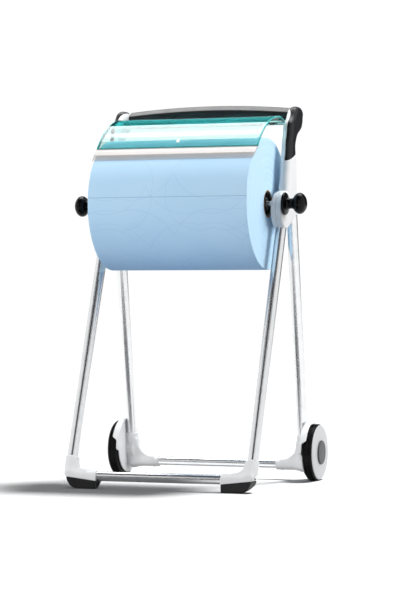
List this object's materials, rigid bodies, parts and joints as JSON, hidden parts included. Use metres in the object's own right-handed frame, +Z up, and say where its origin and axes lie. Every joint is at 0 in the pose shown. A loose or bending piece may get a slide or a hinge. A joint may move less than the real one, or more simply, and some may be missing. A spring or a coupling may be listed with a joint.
{
  "type": "paper roll floor stand",
  "caption": "Wheeled floor stand of chromed tubes that holds a wide paper roll between two arms, with a hinged see-through lid, a tear bar and pull-out knobs.",
  "frame": {"origin": "on the floor, under the middle of the stand's width and depth", "axes": "+X to the user's right when facing the tear bar, +Y from the front to the wheels, +Z up"},
  "size_m": [0.646, 0.53, 1.006],
  "materials": {
    "black_grip": "satin",
    "black_plastic": "gloss",
    "cap_plastic": "satin",
    "cardboard": "matt",
    "chrome_steel": "polished",
    "foot_rubber": "matt",
    "lid_plastic": "gloss, see-through",
    "nylon": "satin",
    "paper": "matt, embossed",
    "spring_steel": "satin",
    "tab_plastic": "gloss",
    "tear_plastic": "satin",
    "tyre_rubber": "matt",
    "wheel_plastic": "satin",
    "white_plastic": "gloss"
  },
  "bodies": {
    "stand": {"front_left_leg": "chrome_steel", "front_right_leg": "chrome_steel", "rear_left_leg": "chrome_steel", "rear_right_leg": "chrome_steel", "front_cross_tube": "chrome_steel", "rear_cross_tube": "chrome_steel", "front_left_corner": "white_plastic", "front_right_corner": "white_plastic", "rear_left_corner": "white_plastic", "rear_right_corner": "white_plastic", "left_foot_pad": "foot_rubber", "right_foot_pad": "foot_rubber", "corner_screws": "chrome_steel", "left_arm_shell": "white_plastic", "right_arm_shell": "white_plastic", "left_arm_cover": "white_plastic", "right_arm_cover": "white_plastic", "left_grip_end": "black_grip", "right_grip_end": "black_grip", "arm_screws": "chrome_steel", "handle_bar": "black_grip", "handle_core": "chrome_steel", "lid_hinge_pins": "chrome_steel", "left_spindle_bush": "nylon", "right_spindle_bush": "nylon", "left_wheel_axle": "chrome_steel", "right_wheel_axle": "chrome_steel", "left_axle_clip": "spring_steel", "right_axle_clip": "spring_steel"},
    "lid": {"lid": "lid_plastic", "lid_tab": "tab_plastic", "tear_bar": "tear_plastic"},
    "roll": {"paper_roll": "paper", "roll_core": "cardboard", "left_core_plug": "black_plastic", "right_core_plug": "black_plastic"},
    "left_knob": {"left_knob": "black_plastic", "left_spindle": "chrome_steel", "left_spindle_clip": "spring_steel"},
    "left_wheel": {"left_tyre": "tyre_rubber", "left_wheel": "wheel_plastic", "left_wheel_bush": "nylon", "left_hub_cap": "cap_plastic"},
    "right_knob": {"right_knob": "black_plastic", "right_spindle": "chrome_steel", "right_spindle_clip": "spring_steel"},
    "right_wheel": {"right_tyre": "tyre_rubber", "right_wheel": "wheel_plastic", "right_wheel_bush": "nylon", "right_hub_cap": "cap_plastic"}
  },
  "joints": [
    {"name": "lid_hinge", "type": "hinge", "parent": "stand", "child": "lid", "pos_m": [0, 0.105, 0.954], "axis": [-1, 0, 0], "range_deg": [0, 75]},
    {"name": "roll_spin", "type": "hinge", "parent": "stand", "child": "roll", "pos_m": [0, -0.029, 0.733], "axis": [1, 0, 0], "continuous": true},
    {"name": "left_knob_slide", "type": "slide", "parent": "stand", "child": "left_knob", "axis": [-1, 0, 0], "range_m": [0, 0.021]},
    {"name": "right_knob_slide", "type": "slide", "parent": "stand", "child": "right_knob", "axis": [1, 0, 0], "range_m": [0, 0.021]},
    {"name": "left_wheel_spin", "type": "hinge", "parent": "stand", "child": "left_wheel", "pos_m": [0, 0.1895, 0.0755], "axis": [1, 0, 0], "continuous": true},
    {"name": "right_wheel_spin", "type": "hinge", "parent": "stand", "child": "right_wheel", "pos_m": [0, 0.1895, 0.0755], "axis": [1, 0, 0], "continuous": true}
  ]
}
